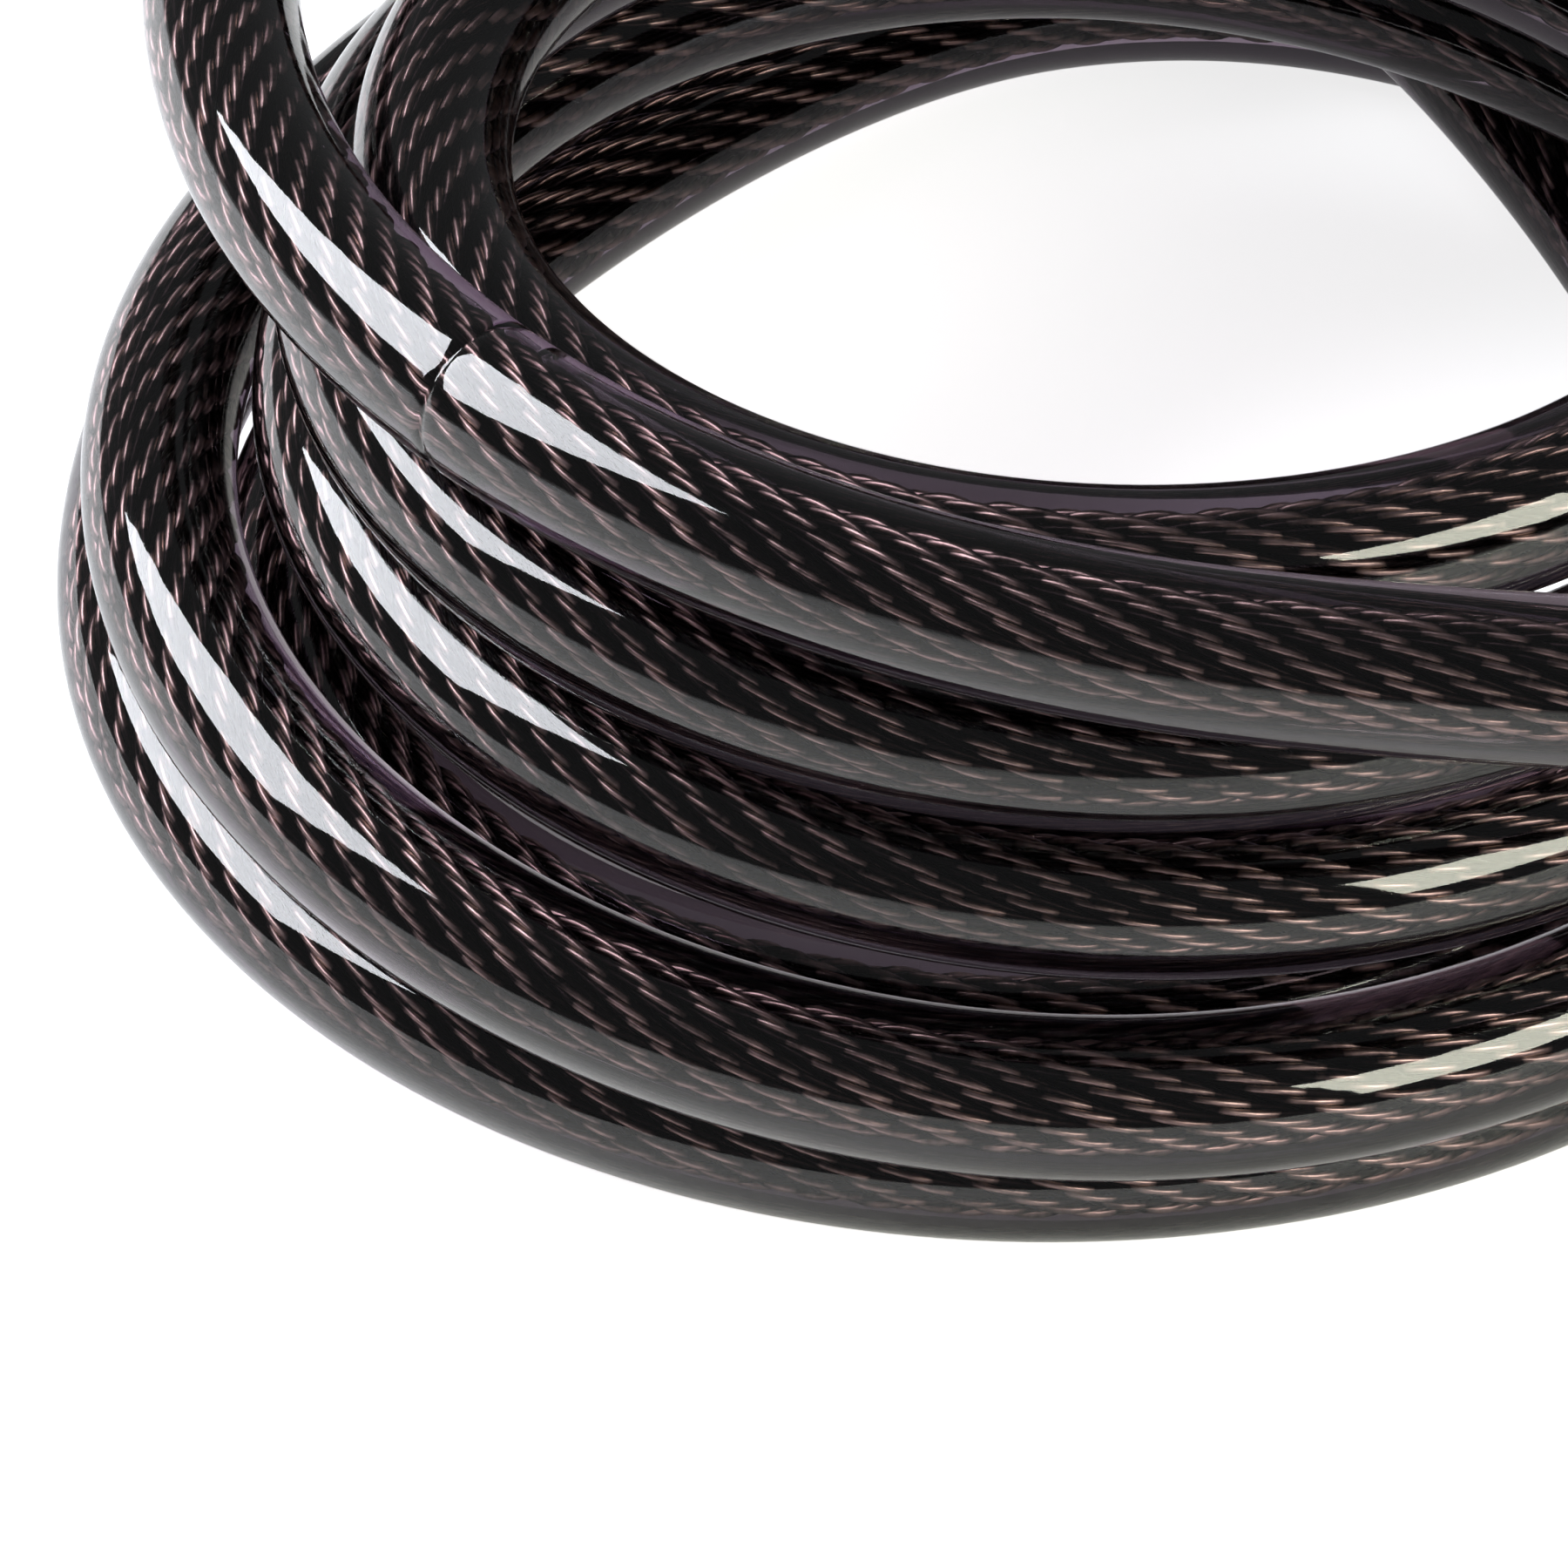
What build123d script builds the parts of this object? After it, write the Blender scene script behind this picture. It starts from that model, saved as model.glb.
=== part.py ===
from build123d import *
import os
from math import asin, cos, pi, radians, sin, tan

os.makedirs("parts", exist_ok=True)

# A bicycle cable lock: a 10 mm sheathed steel cable in a loose coil, and an in-line combination lock
# head with four number wheels. Millimetres, +Z up, standing on z = 0. The origin is under the middle of
# the lock head, whose axis runs along X. The plug comes out at +X and the cable is held for good at -X.

# ---- Driving dimensions ----

# Lock head housings
housing_radius = 14.0      # the die-cast ends, and the rails that join them
axis_height = 13.4         # lower than the radius, which leaves a flat to lie on
anchor_length = 20.0       # the end that holds the cable
entry_length = 13.0        # the end that takes the plug
housing_chamfer = 1.2

# Number wheels and the clutch rings inside them
wheel_count = 4
wheel_pitch = 8.0
wheel_radius = 11.8
wheel_gap = 0.3            # between one wheel and the next
end_play = 0.35            # between the stack of wheels and what stands beside it
flute_count = 10           # finger grooves, one between each two digits
flute_radius = 1.1
flute_depth = 0.5
ring_radius = 7.4
ring_length = 5.0
ring_offset = 1.2          # the ring sits towards the wheel's entry side, so the lug gap is before it
tooth_count = 10
tooth_height = 0.7
tooth_width = 1.0
washer_thickness = 0.8

# Locking pin and the slotted sleeve it runs in
pin_radius = 3.2
sleeve_wall = 1.5
lug_height = 3.1           # from the pin's surface, out past the sleeve into the gap between two rings
lug_width = 2.0
lug_length = 2.0
pin_nose = 3.0             # from the pin's tip to its first lug
sleeve_seat = 8.0          # how deep the sleeve sits in the anchor housing

# Cable, its crimped ends and its boots
cable_radius = 5.0         # over the sheath
rope_radius = 2.5
ferrule_radius = 4.5
ferrule_length = 11.0
rope_grip = 5.5            # how deep the bare rope sits in a ferrule
cross_pin_radius = 1.25
boot_length = 24.0
plug_boot_length = 28.0
boot_wide_radius = 8.5
boot_mouth_radius = 6.3
collar_radius = 9.0
collar_length = 3.0
pin_tail_radius = 2.0
pin_tail_length = 4.0

# Rails, screws and trim
bridge_wall_gap = 0.4      # between the wheels and the rails
lower_bridge_angle = 68.0  # how much of the circle each rail covers
upper_bridge_angle = 32.0
bridge_seat = 5.0          # how far a rail reaches into each housing
screw_radius = 1.0
screw_head_radius = 1.9
screw_head_depth = 0.8
screw_length = 4.5
screw_set_in = 0.1         # how far a screw's head lies below the rail's surface
bezel_radius = 8.5
bezel_thickness = 1.5
detent_width = 3.0
detent_thickness = 0.25
detent_slot_depth = 0.5

# Reset button, its spring and the collar that keeps it in
button_radius = 2.5
button_flange_radius = 3.2
button_flange_height = 1.0
button_stand_out = 1.3     # above its collar
reset_collar_radius = 4.2
reset_collar_height = 1.6
reset_spring_height = 2.3
spring_wire_radius = 0.2
spring_turns = 3

# Fits
fit_gap = 0.02             # between pieces that are pressed or screwed together
running_gap = 0.1          # round a shaft or a bore that turns or slides
lug_gap = 0.3              # beside and over a lug in its keyway and gates
part_gap = 0.3             # between faces of pieces that move apart

# The coil: its middle on the floor, and its outer shape as radius and height of each corner
coil_middle = (-164.0, -31.0)
coil_profile = [(50, 0.3), (65, 0.3), (67, 14), (66, 27), (64.5, 50), (42, 50), (39, 43), (41, 26), (45, 12)]
coil_edge_radius = 2.0

# ---- Places that follow from them ----

wheels_length = wheel_count * wheel_pitch
head_length = anchor_length + wheels_length + washer_thickness + 2 * end_play + entry_length
anchor_end = -head_length / 2
anchor_face = anchor_end + anchor_length
entry_end = head_length / 2
entry_face = entry_end - entry_length
first_wheel = anchor_face + end_play + wheel_pitch / 2
wheel_width = wheel_pitch - wheel_gap

sleeve_bore_radius = pin_radius + running_gap
sleeve_radius = pin_radius + running_gap + sleeve_wall
ring_bore_radius = sleeve_radius + running_gap
lug_radius = pin_radius + lug_height
keyway_radius = lug_radius + lug_gap
keyway_width = lug_width + 2 * lug_gap
bridge_radius = wheel_radius + bridge_wall_gap
sleeve_start = anchor_face - sleeve_seat
sleeve_end = entry_end - bezel_thickness
ring_gap_middle = ring_offset - ring_length / 2 - (wheel_pitch - ring_length) / 2
first_lug = first_wheel + ring_gap_middle
pin_tip = first_lug - lug_length / 2 - pin_nose
collar_start = entry_end + part_gap
collar_end = collar_start + collar_length
plug_mouth = collar_end + plug_boot_length
anchor_mouth = anchor_end - boot_length
cross_pin_place = anchor_end + (rope_grip + ferrule_length) / 2
button_place = anchor_end + (anchor_length - bridge_seat) / 2
screw_reach = screw_set_in + screw_length + running_gap
screw_places = (anchor_face - bridge_seat / 2, entry_face + bridge_seat / 2)

# The axis of the head as a plane that looks along +X, so a sketch on it has Y across and Z up
head_axis = Plane(origin=(0, 0, axis_height), x_dir=(0, 1, 0), z_dir=(1, 0, 0))


def section(x):
    """The plane square to the head's axis at x."""
    return head_axis.offset(x)


def sector(outer, inner, angle, middle):
    """A face between two radii, over the given angle either side of a direction in degrees."""
    start = radians(middle - angle / 2)
    stop = radians(middle + angle / 2)
    with BuildSketch() as face:
        with BuildLine():
            near_start = (inner * cos(start), inner * sin(start))
            far_start = (outer * cos(start), outer * sin(start))
            near_stop = (inner * cos(stop), inner * sin(stop))
            far_stop = (outer * cos(stop), outer * sin(stop))
            mid = radians(middle)
            Line(near_start, far_start)
            ThreePointArc(far_start, (outer * cos(mid), outer * sin(mid)), far_stop)
            Line(far_stop, near_stop)
            ThreePointArc(near_stop, (inner * cos(mid), inner * sin(mid)), near_start)
        make_face()
    return face.sketch


def keyway(width, radius):
    """The outline of a lug's way out from the axis, straight up."""
    with BuildSketch() as face:
        Rectangle(width, radius, align=(Align.CENTER, Align.MIN))
    return face.sketch


def write(part, name):
    part.label = name
    export_step(part, f"parts/{name}.step")


floor_cut = Location((0, 0, -housing_radius))
floor_size = 4 * housing_radius


# ---- Anchor housing ----

pocket_top = axis_height + housing_radius * cos(asin(reset_collar_radius / housing_radius)) - 0.2
collar_floor = pocket_top - reset_collar_height
flange_top = collar_floor - running_gap
flange_floor = flange_top - button_flange_height
pocket_floor = flange_floor - reset_spring_height

with BuildPart() as anchor_housing:
    with BuildSketch(section(anchor_end)):
        Circle(housing_radius)
    extrude(amount=anchor_length)
    ends = anchor_housing.edges().filter_by(GeomType.CIRCLE)
    chamfer(ends, housing_chamfer)
    with Locations(floor_cut):
        Box(floor_size * 2, floor_size, 2 * housing_radius, mode=Mode.SUBTRACT)
    # ferrule bore from the cable's side, sleeve seat from the wheels' side
    with BuildSketch(section(anchor_end)):
        Circle(ferrule_radius + fit_gap)
    extrude(amount=ferrule_length, mode=Mode.SUBTRACT)
    with BuildSketch(section(sleeve_start)):
        Circle(sleeve_radius + fit_gap)
    extrude(amount=sleeve_seat, mode=Mode.SUBTRACT)
    # keyway in the face, for the lug that stands nearest
    with BuildSketch(section(anchor_face - part_gap)):
        add(keyway(keyway_width, keyway_radius))
    extrude(amount=part_gap, mode=Mode.SUBTRACT)
    # seats of the two rails
    with BuildSketch(section(anchor_face - bridge_seat)):
        add(sector(housing_radius + 1, bridge_radius, lower_bridge_angle, -90))
        add(sector(housing_radius + 1, bridge_radius, upper_bridge_angle, 90))
    extrude(amount=bridge_seat, mode=Mode.SUBTRACT)
    # cross pin hole, screw holes, reset pocket
    with BuildSketch(Plane.XZ.offset(-housing_radius)):
        with Locations((cross_pin_place, axis_height)):
            Circle(cross_pin_radius + fit_gap)
    extrude(amount=2 * housing_radius, mode=Mode.SUBTRACT)
    with BuildSketch(Plane.XY):
        with Locations((screw_places[0], 0)):
            Circle(screw_radius + fit_gap)
    extrude(amount=screw_reach, mode=Mode.SUBTRACT)
    with BuildSketch(Plane.XY.offset(axis_height + housing_radius)):
        with Locations((screw_places[0], 0)):
            Circle(screw_radius + fit_gap)
    extrude(amount=-screw_reach, mode=Mode.SUBTRACT)
    with BuildSketch(Plane.XY.offset(pocket_floor)):
        with Locations((button_place, 0)):
            Circle(button_flange_radius + running_gap)
    extrude(amount=2 * housing_radius, mode=Mode.SUBTRACT)
    with BuildSketch(Plane.XY.offset(collar_floor)):
        with Locations((button_place, 0)):
            Circle(reset_collar_radius + fit_gap)
    extrude(amount=2 * housing_radius, mode=Mode.SUBTRACT)
write(anchor_housing.part, "anchor_housing")

# ---- Entry housing and its bezel ----

with BuildPart() as entry_housing:
    with BuildSketch(section(entry_face)):
        Circle(housing_radius)
    extrude(amount=entry_length)
    ends = entry_housing.edges().filter_by(GeomType.CIRCLE)
    chamfer(ends, housing_chamfer)
    with Locations(floor_cut):
        Box(floor_size * 2, floor_size, 2 * housing_radius, mode=Mode.SUBTRACT)
    with BuildSketch(section(entry_face)):
        Circle(sleeve_radius + fit_gap)
        add(keyway(keyway_width, keyway_radius))
    extrude(amount=entry_length, mode=Mode.SUBTRACT)
    with BuildSketch(section(sleeve_end)):
        Circle(bezel_radius + fit_gap)
    extrude(amount=bezel_thickness, mode=Mode.SUBTRACT)
    with BuildSketch(section(entry_face)):
        add(sector(housing_radius + 1, bridge_radius, lower_bridge_angle, -90))
        add(sector(housing_radius + 1, bridge_radius, upper_bridge_angle, 90))
    extrude(amount=bridge_seat, mode=Mode.SUBTRACT)
    with BuildSketch(Plane.XY):
        with Locations((screw_places[1], 0)):
            Circle(screw_radius + fit_gap)
    extrude(amount=screw_reach, mode=Mode.SUBTRACT)
    with BuildSketch(Plane.XY.offset(axis_height + housing_radius)):
        with Locations((screw_places[1], 0)):
            Circle(screw_radius + fit_gap)
    extrude(amount=-screw_reach, mode=Mode.SUBTRACT)
write(entry_housing.part, "entry_housing")

with BuildPart() as entry_bezel:
    with BuildSketch(section(sleeve_end)):
        Circle(bezel_radius)
        Circle(sleeve_bore_radius + running_gap, mode=Mode.SUBTRACT)
        add(keyway(keyway_width, keyway_radius), mode=Mode.SUBTRACT)
    extrude(amount=bezel_thickness)
write(entry_bezel.part, "entry_bezel")

# ---- The rails that join the housings across the wheels, and their screws ----

bridge_start = anchor_face - bridge_seat
bridge_length = entry_face + bridge_seat - bridge_start
detent_bed = bridge_radius + detent_slot_depth

with BuildPart() as lower_bridge:
    with BuildSketch(section(bridge_start)):
        add(sector(housing_radius, bridge_radius + fit_gap, lower_bridge_angle - 0.2, -90))
    extrude(amount=bridge_length)
    with Locations(floor_cut):
        Box(floor_size * 2, floor_size, 2 * housing_radius, mode=Mode.SUBTRACT)
    # a shallow bed for the detent spring, on the wheels' side
    with BuildSketch(section(anchor_face)):
        with Locations((0, -detent_bed)):
            Rectangle(detent_width + 2 * running_gap, detent_bed, align=(Align.CENTER, Align.MIN))
    extrude(amount=entry_face - anchor_face, mode=Mode.SUBTRACT)
    for place in screw_places:
        with BuildSketch(Plane.XY):
            with Locations((place, 0)):
                Circle(screw_radius + fit_gap)
        extrude(amount=screw_reach, mode=Mode.SUBTRACT)
        with BuildSketch(Plane.XY):
            with Locations((place, 0)):
                Circle(screw_head_radius + fit_gap)
        extrude(amount=screw_head_depth + screw_set_in, mode=Mode.SUBTRACT)
write(lower_bridge.part, "lower_bridge")

with BuildPart() as upper_bridge:
    with BuildSketch(section(bridge_start)):
        add(sector(housing_radius, bridge_radius + fit_gap, upper_bridge_angle - 0.2, 90))
    extrude(amount=bridge_length)
    for place in screw_places:
        with BuildSketch(Plane.XY.offset(axis_height + housing_radius)):
            with Locations((place, 0)):
                Circle(screw_radius + fit_gap)
        extrude(amount=-screw_reach, mode=Mode.SUBTRACT)
        with BuildSketch(Plane.XY.offset(axis_height + housing_radius)):
            with Locations((place, 0)):
                Circle(screw_head_radius + fit_gap)
        extrude(amount=-screw_head_depth - screw_set_in, mode=Mode.SUBTRACT)
write(upper_bridge.part, "upper_bridge")


def bridge_screw(x, base, inwards):
    """A cheese-head screw whose head is sunk in a rail; inwards is +1 from below, -1 from above."""
    with BuildPart() as screw:
        with BuildSketch(Plane.XY.offset(base)):
            with Locations((x, 0)):
                Circle(screw_radius)
        extrude(amount=inwards * screw_length)
        with BuildSketch(Plane.XY.offset(base)):
            with Locations((x, 0)):
                Circle(screw_head_radius)
        extrude(amount=inwards * screw_head_depth)
        with BuildSketch(Plane.XY.offset(base)):
            with Locations((x, 0)):
                Rectangle(2 * screw_head_radius + 1, 0.5)
        extrude(amount=inwards * screw_head_depth / 2, mode=Mode.SUBTRACT)
    return screw.part


screw_bases = ((screw_set_in, 1), (axis_height + housing_radius - screw_set_in, -1))
screw_number = 1
for base, inwards in screw_bases:
    for place in screw_places:
        write(bridge_screw(place, base, inwards), f"bridge_screw_{screw_number}")
        screw_number += 1

# ---- The slotted sleeve, and the leaf spring that clicks in the wheels' flutes ----

with BuildPart() as core_sleeve:
    with BuildSketch(section(sleeve_start)):
        Circle(sleeve_radius)
        Circle(sleeve_bore_radius, mode=Mode.SUBTRACT)
    extrude(amount=sleeve_end - sleeve_start)
    slot_start = first_lug - lug_length / 2 - lug_gap
    with BuildSketch(section(slot_start)):
        add(keyway(keyway_width, keyway_radius))
    extrude(amount=sleeve_end - slot_start, mode=Mode.SUBTRACT)
write(core_sleeve.part, "core_sleeve")

detent_crest = axis_height - wheel_radius - running_gap
detent_floor = axis_height - detent_bed

with BuildPart() as detent_spring:
    with BuildSketch(Plane.XZ.offset(-detent_width / 2)):
        with BuildLine():
            bow = []
            for index in range(wheel_count):
                middle = first_wheel + index * wheel_pitch
                bow += [(middle - wheel_pitch * 0.3, detent_floor), (middle, detent_crest - detent_thickness)]
                bow += [(middle + wheel_pitch * 0.3, detent_floor)]
            low = [(anchor_face, detent_floor), *bow, (entry_face, detent_floor)]
            high = [(x, z + detent_thickness) for x, z in reversed(low)]
            Polyline(*low, *high, close=True)
        make_face()
    extrude(amount=detent_width)
write(detent_spring.part, "detent_spring")

# ---- Number wheels, each with its clutch ring ----

for index in range(wheel_count):
    middle = first_wheel + index * wheel_pitch
    with BuildPart() as wheel:
        with BuildSketch(section(middle - wheel_width / 2)):
            Circle(wheel_radius)
        extrude(amount=wheel_width)
        rims = wheel.edges().filter_by(GeomType.CIRCLE)
        chamfer(rims, 0.5)
        flute_middle = wheel_radius - flute_depth + flute_radius
        with BuildSketch(section(middle - wheel_width / 2)):
            Circle(ring_radius + fit_gap)
            with PolarLocations(ring_radius, tooth_count):
                Rectangle(2 * (tooth_height + fit_gap), tooth_width + 2 * fit_gap)
            with PolarLocations(flute_middle, flute_count, start_angle=180 / flute_count):
                Circle(flute_radius)
        extrude(amount=wheel_width, mode=Mode.SUBTRACT)
    write(wheel.part, f"wheel_{index + 1}")

    ring_start = middle + ring_offset - ring_length / 2
    with BuildPart() as ring:
        with BuildSketch(section(ring_start)):
            Circle(ring_radius)
            with PolarLocations(ring_radius, tooth_count):
                Rectangle(2 * tooth_height, tooth_width)
            Circle(ring_bore_radius, mode=Mode.SUBTRACT)
            add(keyway(keyway_width, keyway_radius), mode=Mode.SUBTRACT)
        extrude(amount=ring_length)
    write(ring.part, f"clutch_ring_{index + 1}")

with BuildPart() as wave_washer:
    with BuildSketch(section(entry_face - washer_thickness)):
        Circle(ring_radius + 3)
        Circle(keyway_radius + lug_gap, mode=Mode.SUBTRACT)
    extrude(amount=washer_thickness)
write(wave_washer.part, "wave_washer")

# ---- Reset button with its collar and spring ----

with BuildPart() as reset_collar:
    with BuildSketch(Plane.XY.offset(collar_floor)):
        with Locations((button_place, 0)):
            Circle(reset_collar_radius)
            Circle(button_radius + running_gap, mode=Mode.SUBTRACT)
    extrude(amount=reset_collar_height)
write(reset_collar.part, "reset_collar")

with BuildPart() as reset_button:
    with BuildSketch(Plane.XY.offset(flange_floor)):
        with Locations((button_place, 0)):
            Circle(button_flange_radius)
    extrude(amount=button_flange_height)
    with BuildSketch(Plane.XY.offset(flange_floor)):
        with Locations((button_place, 0)):
            Circle(button_radius)
    extrude(amount=pocket_top + button_stand_out - flange_floor)
    crown = reset_button.edges().filter_by(GeomType.CIRCLE).sort_by(Axis.Z)[-1]
    fillet(crown, 0.8)
write(reset_button.part, "reset_button")

with BuildPart() as reset_spring:
    coil_radius = button_flange_radius - 2 * spring_wire_radius
    spring_rise = reset_spring_height - 2 * spring_wire_radius - 0.04
    spring_base = (button_place, 0, pocket_floor + spring_wire_radius + 0.02)
    with BuildLine():
        wire_line = Helix(spring_rise / spring_turns, spring_rise, coil_radius, center=spring_base)
    with BuildSketch(Plane(origin=wire_line @ 0, z_dir=wire_line % 0)):
        Circle(spring_wire_radius)
    sweep(path=wire_line)
write(reset_spring.part, "reset_spring")

# ---- The cable's fixed end: ferrule, cross pin, boot ----

with BuildPart() as anchor_ferrule:
    with BuildSketch(section(anchor_end)):
        Circle(ferrule_radius)
    extrude(amount=ferrule_length)
    with BuildSketch(section(anchor_end)):
        Circle(rope_radius + fit_gap)
    extrude(amount=rope_grip, mode=Mode.SUBTRACT)
    with BuildSketch(Plane.XZ.offset(-housing_radius)):
        with Locations((cross_pin_place, axis_height)):
            Circle(cross_pin_radius + fit_gap)
    extrude(amount=2 * housing_radius, mode=Mode.SUBTRACT)
write(anchor_ferrule.part, "anchor_ferrule")

with BuildPart() as anchor_cross_pin:
    cross_pin_length = 2 * (housing_radius - 0.6)
    with BuildSketch(Plane.XZ.offset(-cross_pin_length / 2)):
        with Locations((cross_pin_place, axis_height)):
            Circle(cross_pin_radius)
    extrude(amount=cross_pin_length)
    chamfer(anchor_cross_pin.edges().filter_by(GeomType.CIRCLE), 0.3)
write(anchor_cross_pin.part, "anchor_cross_pin")


def cable_end(rope_from, sheath_from, mouth):
    """The last of the cable inside a boot: bare rope for the ferrule, then sheath to the mouth."""
    with BuildPart() as stub:
        with BuildSketch(section(rope_from)):
            Circle(rope_radius)
        extrude(amount=sheath_from - rope_from)
        with BuildSketch(section(sheath_from)):
            Circle(cable_radius)
        extrude(amount=mouth - sheath_from)
    return stub.part


def boot(wide_end, sheath_from, mouth):
    """A moulded sleeve that narrows from the lock to the cable, with the cable's bore through it."""
    along = 1 if mouth > wide_end else -1
    neck = wide_end + along * 4.0
    with BuildPart() as sleeve:
        with BuildSketch(Plane(origin=(0, 0, axis_height), x_dir=(1, 0, 0), z_dir=(0, -1, 0))):
            with BuildLine():
                outline = [(wide_end, 0), (wide_end, boot_wide_radius), (neck, boot_wide_radius)]
                outline += [(mouth, boot_mouth_radius), (mouth, 0)]
                Polyline(*outline, close=True)
            make_face()
        revolve(axis=Axis((0, 0, axis_height), (1, 0, 0)))
        with BuildSketch(section(sheath_from)):
            Circle(cable_radius + fit_gap)
        extrude(amount=mouth - sheath_from, mode=Mode.SUBTRACT)
    return sleeve


anchor_sheath_start = anchor_end - 1.0
with BuildPart() as anchor_boot:
    add(boot(anchor_end, anchor_sheath_start, anchor_mouth).part)
    with BuildSketch(section(anchor_end)):
        Circle(rope_radius + fit_gap)
    extrude(amount=anchor_sheath_start - anchor_end, mode=Mode.SUBTRACT)
write(anchor_boot.part, "anchor_boot")
anchor_cable_end = cable_end(anchor_end + rope_grip, anchor_sheath_start, anchor_mouth)
write(anchor_cable_end, "anchor_cable_end")

# ---- The plug: locking pin, collar, ferrule, boot ----

with BuildPart() as locking_pin:
    with BuildSketch(section(pin_tip)):
        Circle(pin_radius)
    extrude(amount=collar_end - pin_tip)
    nose = locking_pin.edges().filter_by(GeomType.CIRCLE).sort_by(Axis.X)[0]
    chamfer(nose, 1.0)
    with BuildSketch(section(collar_end)):
        Circle(pin_tail_radius)
    extrude(amount=pin_tail_length)
    for index in range(wheel_count):
        lug_start = first_lug + index * wheel_pitch - lug_length / 2
        with BuildSketch(section(lug_start)):
            add(keyway(lug_width, lug_radius))
        extrude(amount=lug_length)
write(locking_pin.part, "locking_pin")

with BuildPart() as plug_collar:
    with BuildSketch(section(collar_start)):
        Circle(collar_radius)
        Circle(pin_radius + fit_gap, mode=Mode.SUBTRACT)
    extrude(amount=collar_length)
    rim = plug_collar.edges().filter_by(GeomType.CIRCLE).group_by(SortBy.RADIUS)[-1]
    fillet(rim, 0.6)
write(plug_collar.part, "plug_collar")

plug_ferrule_end = collar_end + ferrule_length
plug_sheath_start = plug_ferrule_end + 1.0
with BuildPart() as plug_ferrule:
    with BuildSketch(section(collar_end)):
        Circle(ferrule_radius)
    extrude(amount=ferrule_length)
    with BuildSketch(section(collar_end)):
        Circle(pin_tail_radius + fit_gap)
    extrude(amount=pin_tail_length + fit_gap, mode=Mode.SUBTRACT)
    with BuildSketch(section(plug_ferrule_end - rope_grip)):
        Circle(rope_radius + fit_gap)
    extrude(amount=rope_grip, mode=Mode.SUBTRACT)
write(plug_ferrule.part, "plug_ferrule")

with BuildPart() as plug_boot:
    add(boot(collar_end, plug_sheath_start, plug_mouth).part)
    with BuildSketch(section(collar_end)):
        Circle(ferrule_radius + fit_gap)
    extrude(amount=ferrule_length, mode=Mode.SUBTRACT)
    with BuildSketch(section(plug_ferrule_end)):
        Circle(rope_radius + fit_gap)
    extrude(amount=plug_sheath_start - plug_ferrule_end, mode=Mode.SUBTRACT)
write(plug_boot.part, "plug_boot")
plug_cable_end = cable_end(plug_ferrule_end - rope_grip, plug_sheath_start, plug_mouth)
write(plug_cable_end, "plug_cable_end")

# ---- The cable: a lead from each end, and the coil between them as one solid of its outer shape ----


def corner_radii(route):
    """The arc at each point between the ends: 0.45 of the shorter run over the tangent of half the turn."""
    radii = []
    for before, here, after in zip(route, route[1:], route[2:]):
        run_in = Vector(here) - Vector(before)
        run_out = Vector(after) - Vector(here)
        half_turn = radians(run_in.get_angle(run_out)) / 2
        radii.append(0.45 * min(run_in.length, run_out.length) / tan(half_turn))
    return radii


def lead(name, route):
    """A plain tube along straight runs joined by tangent arcs; prints its radii and its volume."""
    radii = corner_radii(route)
    with BuildPart() as tube:
        with BuildLine():
            line = FilletPolyline(*route, radius=radii)
        with BuildSketch(Plane(origin=line @ 0, z_dir=line % 0)):
            Circle(cable_radius)
        sweep(path=line)
    share = tube.part.volume / (pi * cable_radius**2 * line.length)
    print(name, "length", round(line.length, 1), "radii", [round(r) for r in radii], "volume", round(share, 4))
    write(tube.part, name)


# From the plug's boot round to the right on the floor, then up over the front of the coil
plug_route = [
    (plug_mouth, 0, axis_height),
    (97, 0, axis_height),
    (128.5, -19.5, 9),
    (141.5, -54, 5.4),
    (131, -89.5, 5.2),
    (102, -112, 8.5),
    (65, -113.5, 16.5),
    (27, -110.5, 25),
    (-11, -107, 33.5),
    (-49, -103, 41),
    (-85, -99, 46.8),
    (-116, -96.3, 49.8),
    (-143.5, -95.3, 50.4),
]
lead("plug_lead", plug_route)

# From the back of the coil along the floor and up into the anchor boot
anchor_route = [
    (-146.5, 36, 5.2),
    (-125, 23.5, 5.8),
    (-105, 8, 9),
    (-81.5, 0, axis_height),
    (anchor_mouth, 0, axis_height),
]
lead("anchor_lead", anchor_route)

with BuildPart() as cable_coil:
    with BuildSketch(Plane(origin=(*coil_middle, 0), x_dir=(1, 0, 0), z_dir=(0, -1, 0))):
        with BuildLine():
            Polyline(*coil_profile, close=True)
        make_face()
    revolve(axis=Axis((*coil_middle, 0), (0, 0, 1)))
    rims = cable_coil.edges().filter_by(GeomType.CIRCLE)
    fillet(rims, coil_edge_radius)
write(cable_coil.part, "cable_coil")

print("head", round(head_length, 2), "pin length", round(collar_end - pin_tip, 1))
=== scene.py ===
# %% [markdown]
# # A bicycle cable lock, piece by piece
# The lock is a long steel rope in a clear smoke-grey sheath, wound into a loose ring of turns, and a
# small combination lock head that takes the rope's free end. The CAD model gives every hard piece its
# place. This script loads it as a fixed frame, builds the cable and the small parts around it, and
# gives each surface its finish. Everything is in metres.

# %% Load the frame
import math

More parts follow.
